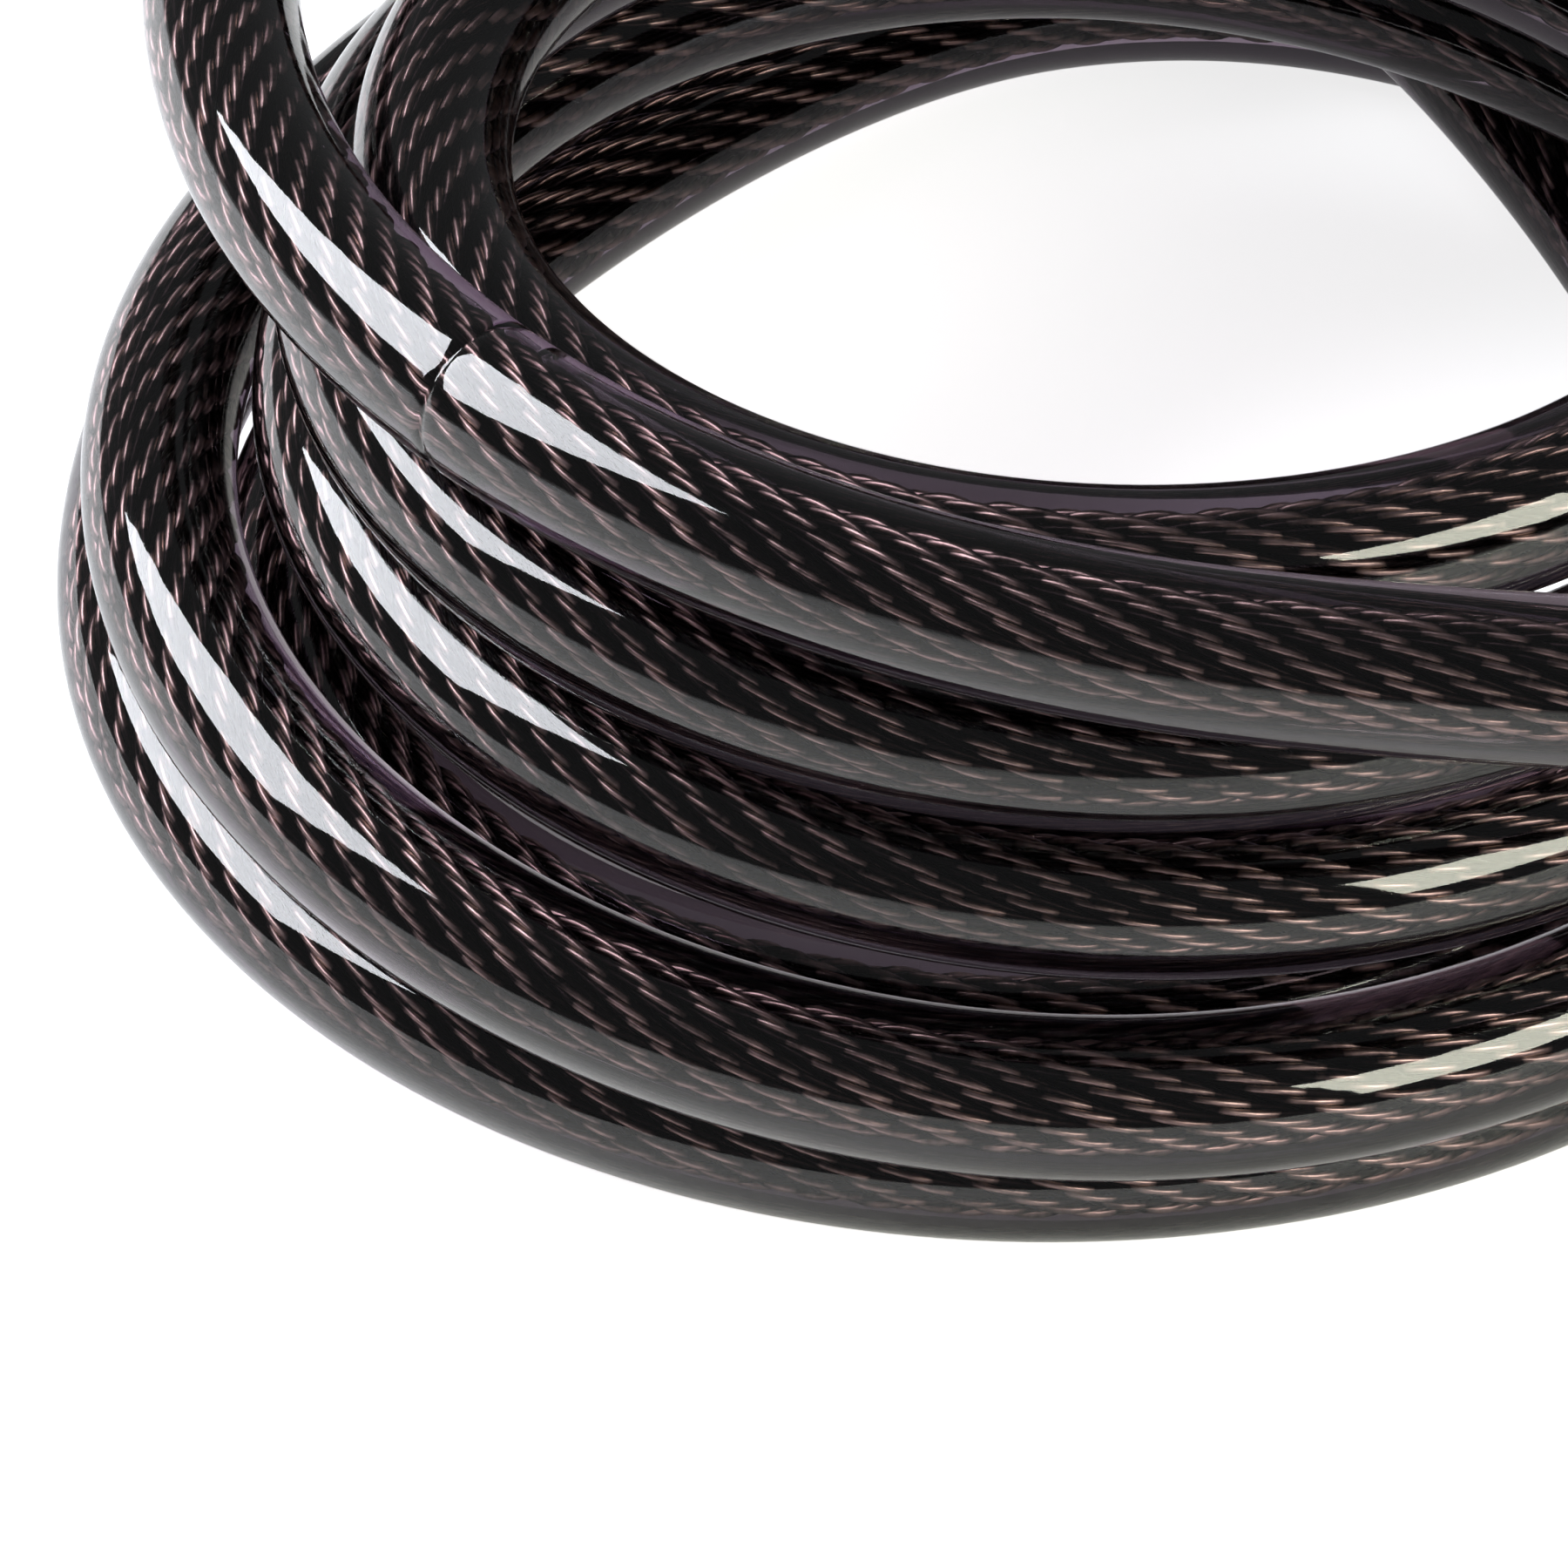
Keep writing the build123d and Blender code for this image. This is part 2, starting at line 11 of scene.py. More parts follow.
import bpy
import numpy as np
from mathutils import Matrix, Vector


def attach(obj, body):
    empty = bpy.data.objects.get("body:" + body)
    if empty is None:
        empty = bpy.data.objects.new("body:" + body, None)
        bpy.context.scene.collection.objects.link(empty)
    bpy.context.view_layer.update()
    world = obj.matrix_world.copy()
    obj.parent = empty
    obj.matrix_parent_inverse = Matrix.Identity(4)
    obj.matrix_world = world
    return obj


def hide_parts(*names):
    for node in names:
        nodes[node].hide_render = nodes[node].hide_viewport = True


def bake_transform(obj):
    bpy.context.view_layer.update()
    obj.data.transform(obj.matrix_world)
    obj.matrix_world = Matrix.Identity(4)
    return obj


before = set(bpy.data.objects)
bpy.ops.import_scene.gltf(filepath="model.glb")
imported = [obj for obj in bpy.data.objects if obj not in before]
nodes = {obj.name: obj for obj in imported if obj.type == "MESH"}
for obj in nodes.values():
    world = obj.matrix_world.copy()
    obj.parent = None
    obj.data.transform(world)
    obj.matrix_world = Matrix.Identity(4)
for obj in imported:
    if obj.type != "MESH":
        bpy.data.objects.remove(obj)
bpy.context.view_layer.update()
MM = 0.001

# %% [markdown]
# ## The camera
# The camera stands in front and looks down at the ring at a little under half a right angle. A long lens
# from further off keeps the turns nearly parallel, where a short one would spread them. It is framed on
# the front left of the ring.

# %% The camera
CAMERA_TILT = math.radians(39.7)
camera = bpy.data.objects.new("camera", bpy.data.cameras.new("camera"))
bpy.context.scene.collection.objects.link(camera)
camera.location = (-0.1855, -0.5175, 0.3926)
camera.rotation_euler = (math.radians(90) - CAMERA_TILT, 0, 0)
camera.data.sensor_width = 36
camera.data.lens = 219.2
camera.data.clip_start = 0.01
camera.data.clip_end = 20
bpy.context.scene.camera = camera
print("camera", camera.location[:], "lens", camera.data.lens)

# %% [markdown]
# ## The cable's route
# One length of cable leaves the plug, goes round on the floor, climbs over the front of the ring and is
# then wound clockwise, seen from above: the wide top turn first, then the turns below it, and last a turn
# that lies on the floor inside the others and runs to the fixed end of the lock head. Its line is one
# smooth spline. The leads are a few points each, and the ring's points come from a loop over its turns,
# because each turn is a circle with a middle and a size of its own. Loose turns that nothing ties are
# never stacked true.

# %% The leads' points
plug_lead = [
    (0.06455, 0, 0.0134),
    (0.097, 0, 0.0134),
    (0.1285, -0.0195, 0.009),
    (0.1415, -0.054, 0.0054),
    (0.131, -0.0895, 0.0052),
    (0.102, -0.112, 0.0085),
    (0.065, -0.1135, 0.0165),
    (0.027, -0.1105, 0.025),
    (-0.011, -0.107, 0.0335),
    (-0.049, -0.103, 0.041),
    (-0.085, -0.099, 0.0468),
    (-0.116, -0.0963, 0.0498),
    (-0.1435, -0.0965, 0.0504),
]
anchor_lead = [
    (-0.125, 0.0235, 0.0058),
    (-0.105, 0.008, 0.009),
    (-0.0815, 0, 0.0134),
    (-0.05725, 0, 0.0134),
]
print("lead points", len(plug_lead), len(anchor_lead))

# %% The ring's turns, from the top one down
# Each circle: middle x and y from the ring's own middle, radius, the turn count at which the cable starts
# to draw in to it, and the part of a turn that takes. Over the back the last three turns share a circle,
# and one turn is hidden on the floor inside the others.
RING = Vector((-0.162, -0.030, 0))
BACK = (0.0044, 0.0253, 0.0420)
circles = [
    (0.0182, 0.0120, 0.0774, -1.00, 0.10),
    (-0.0018, -0.0041, 0.0437, 0.36, 0.60),
    (-0.0020, -0.0034, 0.0488, 1.50, 0.48),
    (-0.0013, -0.0031, 0.0511, 2.50, 0.48),
    (-0.0057, -0.0035, 0.0578, 3.50, 0.48),
    (*BACK, 4.47, 0.14),
    (-0.0073, 0.0023, 0.0587, 4.60, 0.30),
    (*BACK, 5.44, 0.16),
    (-0.0080, 0.0035, 0.0480, 5.56, 0.32),
    (*BACK, 6.40, 0.18),
]
# How high the cable's middle lies, as turn count and height.
heights = [
    (0.09, 0.0509), (0.43, 0.0464), (0.98, 0.04396), (1.09, 0.04396), (1.44, 0.0425), (1.95, 0.03385),
    (2.09, 0.03385), (2.45, 0.0343), (2.93, 0.02407), (3.09, 0.02407), (3.45, 0.0243), (3.94, 0.0141),
    (4.09, 0.0141), (4.38, 0.0187), (4.44, 0.0187), (4.57, 0.025), (4.68, 0.025), (4.84, 0.005),
    (5.38, 0.005), (5.53, 0.015), (5.66, 0.015), (5.80, 0.005), (7.00, 0.005),
]
POINTS_PER_TURN = 16
FIRST_POINT, LAST_POINT = 3, 107    # where the leads take over, in points from the top turn's front
SPLINE_DRAW_IN = 0.981              # a quadratic spline's circle over that of its 16 points, which is wider
print("circles", len(circles), "heights", len(heights))

# %% The ring's points


def ease(value, start, length):
    """0 before start, 1 after start + length, and smooth between."""
    u = min(max((value - start) / length, 0), 1)
    return u * u * (3 - 2 * u)


ring_points = []
for step in range(FIRST_POINT, LAST_POINT + 1):
    count = step / POINTS_PER_TURN
    middle_x = middle_y = radius = 0
    for x, y, size, start, length in circles:
        drawn = ease(count, start, length)
        middle_x += (x - middle_x) * drawn
        middle_y += (y - middle_y) * drawn
        radius += (size - radius) * drawn
    height = heights[0][1]
    for (start, low), (stop, high) in zip(heights, heights[1:]):
        height += (high - low) * ease(count, start, stop - start)
    angle = math.radians(315 - 360 * count)
    reach = radius / SPLINE_DRAW_IN
    place = Vector((middle_x + reach * math.cos(angle), middle_y + reach * math.sin(angle), height))
    ring_points.append(tuple(RING + place))
print("ring points", len(ring_points))

# %% The spline
# Order 3 makes it quadratic. The mesh of a curve without a bevel is its line, ready to be read.
route = plug_lead + ring_points + anchor_lead
line = bpy.data.curves.new("cable_line", "CURVE")
line.dimensions = "3D"
spline = line.splines.new("NURBS")
spline.points.add(len(route) - 1)
for point, place in zip(spline.points, route):
    point.co = (*place, 1)
spline.order_u = 3
spline.use_endpoint_u = True
spline.resolution_u = 12
line_object = bpy.data.objects.new("cable_line", line)
bpy.context.scene.collection.objects.link(line_object)
bpy.context.view_layer.update()
read = bpy.data.meshes.new_from_object(line_object)
route_read = np.array([v.co for v in read.vertices], float)
bpy.data.objects.remove(line_object)
bpy.data.meshes.remove(read)
route_length = np.concatenate([[0], np.cumsum(np.linalg.norm(np.diff(route_read, axis=0), axis=1))])
CABLE_LENGTH = float(route_length[-1])
print("cable length", round(CABLE_LENGTH, 4), "points read", len(route_read))

# %% [markdown]
# ## Stations along the cable
# A tube or a strand is a ring of points carried along the line. The rings must not twist about the line
# by themselves, as they would if each took the world's up, so each ring's upright is the one before it,
# turned only as much as the line turns. The sheath, the wires and the core are all made this way.

# %% Stations


def stations(places_along):
    """Points on the line at these lengths, each with two uprights square to the line and each other."""
    middle = np.stack([np.interp(places_along, route_length, route_read[:, i]) for i in range(3)], 1)
    for _ in range(3):
        middle[1:-1] = 0.25 * middle[:-2] + 0.5 * middle[1:-1] + 0.25 * middle[2:]
    ahead = np.gradient(middle, axis=0)
    ahead /= np.linalg.norm(ahead, axis=1)[:, None]
    up = np.zeros_like(ahead)
    up[0] = (0, 0, 1)
    for i in range(1, len(ahead)):
        carried = up[i - 1] - ahead[i] * (up[i - 1] @ ahead[i])
        up[i] = carried / np.linalg.norm(carried)
    return middle, up, np.cross(ahead, up)


def tube(name, middles, side, other, radii, sides):
    """A closed mesh tube round a row of middles. side and other are the two uprights of each ring."""
    rows = len(middles)
    turn = np.arange(sides) * 2 * math.pi / sides
    ring = np.cos(turn)[None, :, None] * side[:, None] + np.sin(turn)[None, :, None] * other[:, None]
    vertices = (middles[:, None] + ring * np.asarray(radii).reshape(-1, 1, 1)).reshape(-1, 3)
    row, column = np.meshgrid(np.arange(rows - 1), np.arange(sides), indexing="ij")
    following = (column + 1) % sides
    corners = (row * sides + column, row * sides + following)
    far_corners = ((row + 1) * sides + following, (row + 1) * sides + column)
    faces = np.stack([*corners, *far_corners], -1).reshape(-1, 4).tolist()
    faces.append(list(range(sides))[::-1])
    faces.append([(rows - 1) * sides + i for i in range(sides)])
    mesh = bpy.data.meshes.new(name)
    mesh.from_pydata(vertices.tolist(), [], faces)
    mesh.polygons.foreach_set("use_smooth", [len(f) == 4 for f in faces])
    piece = bpy.data.objects.new(name, mesh)
    bpy.context.scene.collection.objects.link(piece)
    return piece


def store(piece, name, values):
    """Stores one number for each vertex: how far along the cable it is, or how near a strand's crest."""
    attribute = piece.data.attributes.new(name, "FLOAT", "POINT")
    attribute.data.foreach_set("value", np.asarray(values, np.float32))


# %% [markdown]
# ## Colours and nodes
# Colours are picked as a screen shows them and turned into light values by one function. One helper adds
# a node to a material, sets it and links it.

# %% Colour and node helpers


def screen_colour(code):
    """An sRGB hex colour as linear light, with alpha."""
    shares = [int(code[i:i + 2], 16) / 255 for i in (1, 3, 5)]
    return (*(s / 12.92 if s <= 0.04045 else ((s + 0.055) / 1.055) ** 2.4 for s in shares), 1)


def add_node(material, kind, settings=None, **links):
    """Adds a node. settings holds its properties and plain inputs, links its inputs' source sockets."""
    node = material.node_tree.nodes.new(kind)
    for name, value in (settings or {}).items():
        if hasattr(node, name) and name not in node.inputs:
            setattr(node, name, value)
        else:
            node.inputs[name].default_value = value
    for name, source in links.items():
        material.node_tree.links.new(source, node.inputs[name.replace("_", " ")])
    return node


def new_material(name):
    """A material with no nodes yet."""
    material = bpy.data.materials.new(name)
    material.use_nodes = True
    material.node_tree.nodes.clear()
    return material


def two_tones(ramp, dark, light):
    """Sets a colour ramp's two stops, each a position and a screen colour."""
    for stop, (position, code) in zip(ramp.color_ramp.elements, (dark, light)):
        stop.position = position
        stop.color = screen_colour(code)


# %% [markdown]
# ## The sheath's finish: clear smoke PVC
# The sheath is soft PVC with a little black dye, extruded over the rope while hot, so it is glossy but
# not quite true: the reflections wave a little. What the eye sees is a dark glassy tube, the rope inside
# it swollen by the tube's own lens, and paler rims where the rope isn't behind the surface. Shadow rays
# pass it as a plain tint, because lamplight bent through a tube is slow to find and hardly seen.

# %% Clear smoke PVC
WAVE_SCALE = 160            # noise waves in a metre, so the die's waves are about 6 mm apart
smoke_pvc = new_material("clear_smoke_pvc")
position = add_node(smoke_pvc, "ShaderNodeTexCoord").outputs["Object"]
waves = add_node(smoke_pvc, "ShaderNodeTexNoise", {"Scale": WAVE_SCALE, "Detail": 2}, Vector=position)
bump = add_node(smoke_pvc, "ShaderNodeBump", {"Strength": 0.045, "Distance": 0.001},
                Height=waves.outputs["Fac"])
clear = add_node(smoke_pvc, "ShaderNodeBsdfPrincipled", {
    "Base Color": screen_colour("#F2EEF2"),
    "Roughness": 0.035,
    "IOR": 1.50,
    "Transmission Weight": 1.0,
}, Normal=bump.outputs["Normal"])
tint = add_node(smoke_pvc, "ShaderNodeBsdfTransparent", {"Color": (0.82, 0.80, 0.82, 1)})
rays = add_node(smoke_pvc, "ShaderNodeLightPath")
mixed = add_node(smoke_pvc, "ShaderNodeMixShader")
smoke_pvc.node_tree.links.new(rays.outputs["Is Shadow Ray"], mixed.inputs[0])
smoke_pvc.node_tree.links.new(clear.outputs[0], mixed.inputs[1])
smoke_pvc.node_tree.links.new(tint.outputs[0], mixed.inputs[2])
dye = add_node(smoke_pvc, "ShaderNodeVolumeAbsorption", {
    "Color": screen_colour("#957F93"),
    "Density": 310.0,
})
add_node(smoke_pvc, "ShaderNodeOutputMaterial", Surface=mixed.outputs[0], Volume=dye.outputs[0])
print("sheath finish", smoke_pvc.name)

# %% [markdown]
# ## The rope's finish: drawn steel wire
# The wire is drawn through a die, so it is bright and smooth, but the rope is greased as it is laid. The
# colour paints a glint along the crest of each strand, in rows of short dashes, and paints shade that
# leaves the wires nearly black between the strands. Each vertex carries "crest", which is 1 on the outermost
# wire of a strand and 0 on its inner side, so the painted glint and shade follow the lay without an image.
# Grime of a few millimetres breaks up the rows of painted glints.

# %% Drawn steel wire
GRIME_SCALE = 420           # noise waves in a metre, so grime of a little over 2 mm
steel_wire = new_material("drawn_steel_wire")
position = add_node(steel_wire, "ShaderNodeTexCoord").outputs["Object"]
crest = add_node(steel_wire, "ShaderNodeAttribute", {"attribute_name": "crest"})
grime = add_node(steel_wire, "ShaderNodeTexNoise", {"Scale": GRIME_SCALE, "Detail": 4}, Vector=position)
uneven = add_node(steel_wire, "ShaderNodeMapRange", {
    "From Min": 0.3, "From Max": 0.7, "To Min": 0.76, "To Max": 1.08,
}, Value=grime.outputs["Fac"])
# The crest value, varied by the grime, is a painted glint: it brightens the colour where a wire lies
# outermost.
painted_glint = add_node(steel_wire, "ShaderNodeMath", {"operation": "MULTIPLY"})
steel_wire.node_tree.links.new(crest.outputs["Fac"], painted_glint.inputs[0])
steel_wire.node_tree.links.new(uneven.outputs[0], painted_glint.inputs[1])
glint_and_shade_ramp = add_node(steel_wire, "ShaderNodeValToRGB", Fac=painted_glint.outputs[0])
# The dark stop paints shade between the strands, the light stop paints the glint on their crests.
two_tones(glint_and_shade_ramp, (0.72, "#1C1817"), (0.97, "#E2CFBD"))
wire = add_node(steel_wire, "ShaderNodeBsdfPrincipled", {
    "Metallic": 1.0,
    "Roughness": 0.30,
}, Base_Color=glint_and_shade_ramp.outputs["Color"])
add_node(steel_wire, "ShaderNodeOutputMaterial", Surface=wire.outputs[0])
print("rope finish", steel_wire.name)

# %% [markdown]
# ## The sheath
# It is a plain round tube of 10 mm, one piece from boot to boot. A curve with a bevel would make it too,
# but on the top turn there is a fine crease round it, where it has been folded once, so it is a mesh tube
# whose stations are set close together there and drawn in a little.

# %% The sheath
CABLE_RADIUS = 5 * MM
SHEATH_STEP = 1.6 * MM
CREASE_DEPTH, CREASE_WIDTH = 0.16 * MM, 0.13 * MM
crease_place = np.array(RING + Vector((-0.0415, -0.0375, 0.0490)))
CREASE_AT = float(route_length[np.argmin(np.linalg.norm(route_read - crease_place, axis=1))])
crease = CREASE_AT + np.array([-0.40, -0.22, -0.10, 0, 0.10, 0.22, 0.40]) * MM
even = np.arange(0, CABLE_LENGTH, SHEATH_STEP)
even = even[np.abs(even - CREASE_AT) > SHEATH_STEP * 0.6]
sheath_along = np.sort(np.concatenate([even, crease, [CABLE_LENGTH]]))
middle, up, across = stations(sheath_along)
sheath_radii = CABLE_RADIUS - CREASE_DEPTH * np.exp(-(((sheath_along - CREASE_AT) / CREASE_WIDTH) ** 2))
SHEATH_SIDES = 40
sheath = tube("cable_sheath", middle, up, across, sheath_radii, SHEATH_SIDES)
store(sheath, "along", np.repeat(sheath_along, SHEATH_SIDES))
sheath.data.materials.append(smoke_pvc)
print("sheath", len(sheath.data.vertices), "vertices")

# %% [markdown]
# ## The rope
# A rope of nearly 5 mm: eight strands laid right-handed round a core, each strand of six wires laid the
# other way round. Where the two lays cancel, the wires on the outside lie nearly along the rope, which is
# why they glint as rows of short dashes that lean across it; the wires' colour paints those glints on as
# well. Real wires, and not a bump pattern, are worth their cost here, because the sheath swells them like a
# lens. They have four sides each to stay light.

# %% The rope's sizes
# A helix is the distance of a strand's or a wire's middle from what it is laid round.
STRAND_HELIX = 1.70 * MM
CORE_RADIUS = 1.06 * MM
ROPE_LAY = 34 * MM
WIRE_RADIUS = 0.22 * MM
WIRE_HELIX = 0.44 * MM
WIRE_LAY = 11 * MM
STRAND_STEP = 0.85 * MM
STRANDS = 8
WIRES = 6
WIRE_SIDES = 4
CORE_SIDES = 12
rope_along = np.arange(0, CABLE_LENGTH, STRAND_STEP)
rope_along[-1] = CABLE_LENGTH
middle, up, across = stations(rope_along)
rope_turn = 2 * math.pi * rope_along / ROPE_LAY
wire_turn = -2 * math.pi * rope_along / WIRE_LAY
print("rope stations", len(rope_along))

# %% The strands


def outward(turn):
    """Unit vectors square to the cable, turned about it."""
    return np.cos(turn)[:, None] * up + np.sin(turn)[:, None] * across


rope_pieces = []
for strand in range(STRANDS):
    turn = rope_turn + strand * 2 * math.pi / STRANDS
    strand_middle = middle + STRAND_HELIX * outward(turn)
    wires = []
    for wire_number in range(WIRES):
        wire_angle = turn + wire_turn + wire_number * 2 * math.pi / WIRES
        wire_middle = strand_middle + WIRE_HELIX * outward(wire_angle)
        wires.append(tube("wire", wire_middle, outward(wire_angle), outward(wire_angle + math.pi / 2),
                          np.full(len(middle), WIRE_RADIUS), WIRE_SIDES))
    bpy.ops.object.select_all(action="DESELECT")
    for wire_piece in wires:
        wire_piece.select_set(True)
    bpy.context.view_layer.objects.active = wires[0]
    bpy.ops.object.join()
    piece = bpy.context.view_layer.objects.active
    piece.name = f"rope_strand_{strand + 1}"
    store(piece, "along", np.tile(np.repeat(rope_along, WIRE_SIDES), WIRES))
    # crest is 1 where a wire lies outermost on its strand; the wire finish makes it a painted glint there and
    # painted shade on the inner side.
    turned = wire_turn[None, :] + np.arange(WIRES)[:, None] * 2 * math.pi / WIRES
    store(piece, "crest", np.repeat(0.5 + 0.5 * np.cos(turned), WIRE_SIDES))
    piece.data.materials.append(steel_wire)
    rope_pieces.append(piece)
core = tube("rope_core", middle, up, across, np.full(len(middle), CORE_RADIUS), CORE_SIDES)
store(core, "along", np.repeat(rope_along, CORE_SIDES))
core.data.materials.append(steel_wire)
rope_pieces.append(core)
print("rope", sum(len(p.data.vertices) for p in rope_pieces), "vertices")

# %% [markdown]
# ## The cable's pieces
# When the plug is pulled out, the real cable's end goes with it and the rest of the cable stays where it
# lies.
# Here each piece of the cable only has its place baked into its mesh and the length along the cable read
# back for each vertex; nothing in this step makes the cable follow the plug.

# %% The cable between the head and the plug
for piece in [sheath, *rope_pieces]:
    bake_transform(piece)
    along = np.zeros(len(piece.data.vertices), np.float32)
    piece.data.attributes["along"].data.foreach_get("value", along)
print("pieces that follow the plug", 1 + len(rope_pieces))
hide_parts("plug_lead", "cable_coil", "anchor_lead")

# %% [markdown]
# ## The head's finishes
# A lock head is black where the hand goes and plated where metal shows. Each finish could have a node tree
# of its own, but they differ only in numbers, so one recipe gives each a cloudy tone, uneven gloss and a
# fine relief, at sizes given in millimetres, and each finish sets them to what the eye sees.

# %% One recipe for a finish
WAVE_PER_METRE = 314        # a wave texture's scale for one band a millimetre


def finish(name, dark, light, cloud_mm, gloss, relief_mm, relief, lines_mm=0, **settings):
    """A surface between two tones, with gloss between two roughnesses and a fine relief or tool lines."""
    made = new_material(name)
    place = add_node(made, "ShaderNodeTexCoord").outputs["Object"]
    cloud = add_node(made, "ShaderNodeTexNoise", {"Scale": 1000 / cloud_mm, "Detail": 4}, Vector=place)
    tones = add_node(made, "ShaderNodeValToRGB", Fac=cloud.outputs["Fac"])
    two_tones(tones, (0.32, dark), (0.68, light))
    roughness = add_node(made, "ShaderNodeMapRange", {"To Min": gloss[0], "To Max": gloss[1]},
                         Value=cloud.outputs["Fac"])
    if lines_mm:
        pattern = add_node(made, "ShaderNodeTexWave", {
            "bands_direction": "X", "Scale": WAVE_PER_METRE / lines_mm, "Distortion": 1.5, "Detail": 2,
        }, Vector=place)
    else:
        pattern = add_node(made, "ShaderNodeTexNoise", {"Scale": 1000 / relief_mm, "Detail": 2}, Vector=place)
    raised = add_node(made, "ShaderNodeBump", {"Strength": relief, "Distance": 0.0001},
                      Height=pattern.outputs["Fac"])
    values = {key.replace("_", " "): value for key, value in settings.items()}
    shader = add_node(made, "ShaderNodeBsdfPrincipled", values, Base_Color=tones.outputs["Color"],
                      Roughness=roughness.outputs[0], Normal=raised.outputs["Normal"])
    add_node(made, "ShaderNodeOutputMaterial", Surface=shader.outputs[0])
    return made


# %% The finishes
# Die-cast zinc under black powder coat: satin, with the fine orange peel of baked powder.
powder_coat = finish("black_powder_coat", "#151517", "#212124", 9, (0.34, 0.46), 0.9, 0.35)
# Glass-filled nylon rails: drier and greyer, with a spark-eroded mould texture.
nylon = finish("moulded_nylon", "#1B1B1D", "#29292B", 4, (0.52, 0.66), 0.35, 0.45)
# ABS wheels: smooth moulded black that fingers have polished.
abs_wheel = finish("moulded_abs", "#101012", "#1B1B1E", 6, (0.24, 0.38), 0.6, 0.12)
# Paint filled into the digits: matt white that is a little uneven.
digit_paint = finish("white_digit_paint", "#DEDCD4", "#F2F0EA", 1.5, (0.5, 0.65), 0.3, 0.2)
# Sintered steel: dull grey and grainy.
sintered = finish("sintered_steel", "#6A6660", "#8F8B84", 1.2, (0.42, 0.58), 0.25, 0.5, Metallic=1.0)
# Nickel plate over turned steel: warm, bright, with the tool's faint rings.
nickel = finish("nickel_plated_steel", "#B7B0A4", "#D3CDC2", 5, (0.14, 0.24), 1, 0.10, 0.25, Metallic=1.0)
# Zinc plate: bluish, softly clouded.
zinc = finish("zinc_plated_steel", "#98A0A8", "#C2C8CE", 1.5, (0.26, 0.42), 0.4, 0.15, Metallic=1.0)
# Spring steel: grey-brown and smooth from rolling.
spring = finish("spring_steel", "#6E6C69", "#8D8B88", 2, (0.22, 0.34), 0.5, 0.08, Metallic=1.0)
# Chrome: a mirror with hardly any haze.
chrome = finish("chrome_plate", "#D2D5D9", "#E3E6E9", 8, (0.04, 0.08), 2, 0.02, Metallic=1.0)
# Anodised aluminium, turned: pale and silky.
aluminium = finish("anodised_aluminium", "#A9ACB0", "#C6C9CC", 3, (0.28, 0.38), 1, 0.12, 0.2, Metallic=1.0)
# Soft PVC boots: black, rubbery, a little dusty.
soft_pvc = finish("soft_black_pvc", "#161618", "#252528", 3, (0.48, 0.62), 0.4, 0.30)
print("finishes", len(bpy.data.materials))

# %% Each node gets its finish
wheels = range(1, 5)
finished = {
    powder_coat: ["anchor_housing", "entry_housing", "plug_collar"],
    nylon: ["lower_bridge", "upper_bridge"],
    abs_wheel: [f"wheel_{i}" for i in wheels],
    sintered: [f"clutch_ring_{i}" for i in wheels],
    nickel: ["locking_pin", "core_sleeve"],
    zinc: ["anchor_cross_pin"] + [f"bridge_screw_{i}" for i in wheels],
    spring: ["wave_washer", "detent_spring", "reset_spring"],
    chrome: ["entry_bezel", "reset_collar"],
    aluminium: ["anchor_ferrule", "plug_ferrule", "reset_button"],
    smoke_pvc: ["plug_cable_end", "anchor_cable_end"],
}
for made, names in finished.items():
    for name in names:
        for slot in nodes[name].material_slots:
            slot.material = made
print("finished nodes", sum(len(names) for names in finished.values()))

# %% [markdown]
# ## The boots
# Each boot is moulded in soft PVC. Ribs round its taper let it bend with the cable and give a grip. It is
# a turned shape, so it starts as a circle round the head's axis, which is extruded and scaled along the
# outline, from the lock to the mouth and back along the bore, and bridged to where it began. A screw
# modifier on a profile would do as well; extruding needs no separate profile.

# %% The boot's outline
AXIS_HEIGHT = 13.4 * MM
BOOT_SIDES = 72
BOOT_WIDE, BOOT_NECK, BOOT_MOUTH = 8.5, 4.0, 6.3    # widest radius, length of its neck, mouth's radius
PLAIN_END = 3.2
FERRULE_BORE, CABLE_BORE = 4.55, 5.05
RIB_PITCH, RIB_DEPTH = 2.4, 0.75
# One groove and the rib after it: distance from the groove's start, and share of the depth.
RIB_SHAPE = ((0.2, 0.35), (0.4, 0.9), (0.9, 1.0), (1.2, 0.5), (1.4, 0.08), (2.2, 0.0))


def boot_outline(wide_end, mouth, bore_step):
    """The boot's outline as X place and radius in millimetres."""
    way = 1 if mouth > wide_end else -1
    length = abs(mouth - wide_end)
    outline = [(wide_end + way * 0.02, FERRULE_BORE), (wide_end + way * 0.02, BOOT_WIDE - 0.6)]
    outline += [(wide_end + way * 0.2, BOOT_WIDE - 0.18), (wide_end + way * 0.6, BOOT_WIDE)]
    outline += [(wide_end + way * (BOOT_NECK - 0.4), BOOT_WIDE)]
    for rib in range(int((length - BOOT_NECK - PLAIN_END) / RIB_PITCH)):
        for further, cut in RIB_SHAPE:
            x = BOOT_NECK + 0.3 + rib * RIB_PITCH + further
            taper = BOOT_WIDE + (BOOT_MOUTH - BOOT_WIDE) * (x - BOOT_NECK) / (length - BOOT_NECK)
            outline.append((wide_end + way * x, taper - RIB_DEPTH * cut - 0.02))
    outline += [(mouth - way * 0.9, BOOT_MOUTH), (mouth - way * 0.3, BOOT_MOUTH - 0.12)]
    outline += [(mouth - way * 0.02, BOOT_MOUTH - 0.45), (mouth - way * 0.02, CABLE_BORE)]
    return outline + [(bore_step, CABLE_BORE), (bore_step, FERRULE_BORE)]


print("outline points", len(boot_outline(-33.25, -57.25, -34.25)))

# %% The boots


